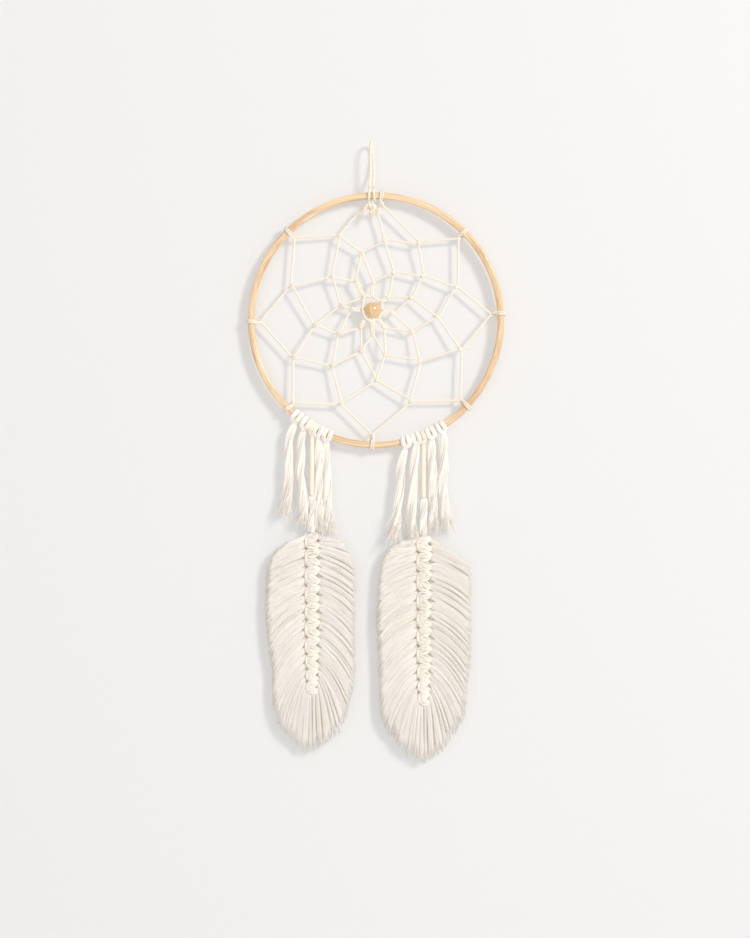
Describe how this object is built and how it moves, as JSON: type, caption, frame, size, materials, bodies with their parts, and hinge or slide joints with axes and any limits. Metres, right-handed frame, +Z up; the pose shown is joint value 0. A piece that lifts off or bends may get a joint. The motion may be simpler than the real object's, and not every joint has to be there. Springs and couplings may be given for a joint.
{
  "type": "dream catcher",
  "caption": "Wooden hoop with a knotted cord web and a centre bead, a hanging loop, two cotton fringes and two knotted cotton feathers on cords.",
  "frame": {"origin": "inside top of the hanging loop, where the hook bears", "axes": "+Z up, the front faces -Y, +X to the viewer's right"},
  "size_m": [0.2041, 0.0136, 0.4845],
  "materials": {
    "hoop_wood": "satin",
    "bead_wood": "gloss",
    "web_cotton": "waxed twisted cord",
    "fringe_cotton": "soft untwisted cotton",
    "feather_cotton": "combed cotton",
    "hanger_cotton": "smooth cotton cord"
  },
  "bodies": {
    "hanger": {"hanging_loop": "hanger_cotton"},
    "hitch": {"loop_hitch": "hanger_cotton", "loop_knot": "hanger_cotton"},
    "hoop": {"hoop": "hoop_wood", "web_cord": "web_cotton", "left_strand_1_head": "fringe_cotton", "left_strand_2_head": "fringe_cotton", "left_strand_3_head": "fringe_cotton", "left_strand_4_head": "fringe_cotton", "right_strand_1_head": "fringe_cotton", "right_strand_2_head": "fringe_cotton", "right_strand_3_head": "fringe_cotton", "right_strand_4_head": "fringe_cotton", "left_feather_hitch": "hanger_cotton", "right_feather_hitch": "hanger_cotton"},
    "bead": {"centre_bead": "bead_wood"},
    "left_strand_1": {"left_strand_1_tail": "fringe_cotton"},
    "left_strand_2": {"left_strand_2_tail": "fringe_cotton"},
    "left_strand_3": {"left_strand_3_tail": "fringe_cotton"},
    "left_strand_4": {"left_strand_4_tail": "fringe_cotton"},
    "right_strand_1": {"right_strand_1_tail": "fringe_cotton"},
    "right_strand_2": {"right_strand_2_tail": "fringe_cotton"},
    "right_strand_3": {"right_strand_3_tail": "fringe_cotton"},
    "right_strand_4": {"right_strand_4_tail": "fringe_cotton"},
    "left_hanger": {"left_hanger_cord": "hanger_cotton"},
    "left_feather": {"left_feather_neck": "feather_cotton", "left_spine_cord": "feather_cotton", "left_feather_row_01": "feather_cotton", "left_feather_row_02": "feather_cotton", "left_feather_row_03": "feather_cotton", "left_feather_row_04": "feather_cotton", "left_feather_row_05": "feather_cotton", "left_feather_row_06": "feather_cotton", "left_feather_row_07": "feather_cotton", "left_feather_row_08": "feather_cotton", "left_feather_row_09": "feather_cotton", "left_feather_row_10": "feather_cotton"},
    "right_hanger": {"right_hanger_cord": "hanger_cotton"},
    "right_feather": {"right_feather_neck": "feather_cotton", "right_spine_cord": "feather_cotton", "right_feather_row_01": "feather_cotton", "right_feather_row_02": "feather_cotton", "right_feather_row_03": "feather_cotton", "right_feather_row_04": "feather_cotton", "right_feather_row_05": "feather_cotton", "right_feather_row_06": "feather_cotton", "right_feather_row_07": "feather_cotton", "right_feather_row_08": "feather_cotton", "right_feather_row_09": "feather_cotton", "right_feather_row_10": "feather_cotton"}
  },
  "joints": [
    {"name": "hoop_twist", "type": "hinge", "parent": "hanger", "child": "hitch", "pos_m": [0.0004, -0.00415, -0.0405], "axis": [0, 0, 1], "range_deg": [-90, 90]},
    {"name": "hoop_swing", "type": "hinge", "parent": "hitch", "child": "hoop", "pos_m": [0.0039, 0, -0.0405], "axis": [1, 0, 0], "range_deg": [-20, 20]},
    {"name": "bead_spin", "type": "hinge", "parent": "hoop", "child": "bead", "pos_m": [0.0012, -0.0015, -0.1299], "axis": [0, 0, 1], "continuous": true},
    {"name": "left_strand_1_swing", "type": "hinge", "parent": "hoop", "child": "left_strand_1", "pos_m": [-0.05805, 0, -0.21306], "axis": [1, 0, 0], "range_deg": [-40, 40]},
    {"name": "left_strand_2_swing", "type": "hinge", "parent": "hoop", "child": "left_strand_2", "pos_m": [-0.05085, 0, -0.21846], "axis": [1, 0, 0], "range_deg": [-40, 40]},
    {"name": "left_strand_3_swing", "type": "hinge", "parent": "hoop", "child": "left_strand_3", "pos_m": [-0.04153, 0, -0.22406], "axis": [1, 0, 0], "range_deg": [-40, 40]},
    {"name": "left_strand_4_swing", "type": "hinge", "parent": "hoop", "child": "left_strand_4", "pos_m": [-0.03416, 0, -0.22756], "axis": [1, 0, 0], "range_deg": [-40, 40]},
    {"name": "right_strand_1_swing", "type": "hinge", "parent": "hoop", "child": "right_strand_1", "pos_m": [0.0273, 0, -0.23245], "axis": [1, 0, 0], "range_deg": [-40, 40]},
    {"name": "right_strand_2_swing", "type": "hinge", "parent": "hoop", "child": "right_strand_2", "pos_m": [0.03529, 0, -0.2301], "axis": [1, 0, 0], "range_deg": [-40, 40]},
    {"name": "right_strand_3_swing", "type": "hinge", "parent": "hoop", "child": "right_strand_3", "pos_m": [0.0466, 0, -0.22544], "axis": [1, 0, 0], "range_deg": [-40, 40]},
    {"name": "right_strand_4_swing", "type": "hinge", "parent": "hoop", "child": "right_strand_4", "pos_m": [0.0545, 0, -0.22112], "axis": [1, 0, 0], "range_deg": [-40, 40]},
    {"name": "left_feather_swing", "type": "hinge", "parent": "hoop", "child": "left_hanger", "pos_m": [-0.04619, 0, -0.22143], "axis": [1, 0, 0], "range_deg": [-40, 40]},
    {"name": "left_feather_twist", "type": "hinge", "parent": "left_hanger", "child": "left_feather", "pos_m": [-0.04619, 0, -0.275], "axis": [0, 0, 1], "range_deg": [-90, 90]},
    {"name": "right_feather_swing", "type": "hinge", "parent": "hoop", "child": "right_hanger", "pos_m": [0.04102, 0, -0.22795], "axis": [1, 0, 0], "range_deg": [-40, 40]},
    {"name": "right_feather_twist", "type": "hinge", "parent": "right_hanger", "child": "right_feather", "pos_m": [0.04102, 0, -0.2766], "axis": [0, 0, 1], "range_deg": [-90, 90]}
  ]
}
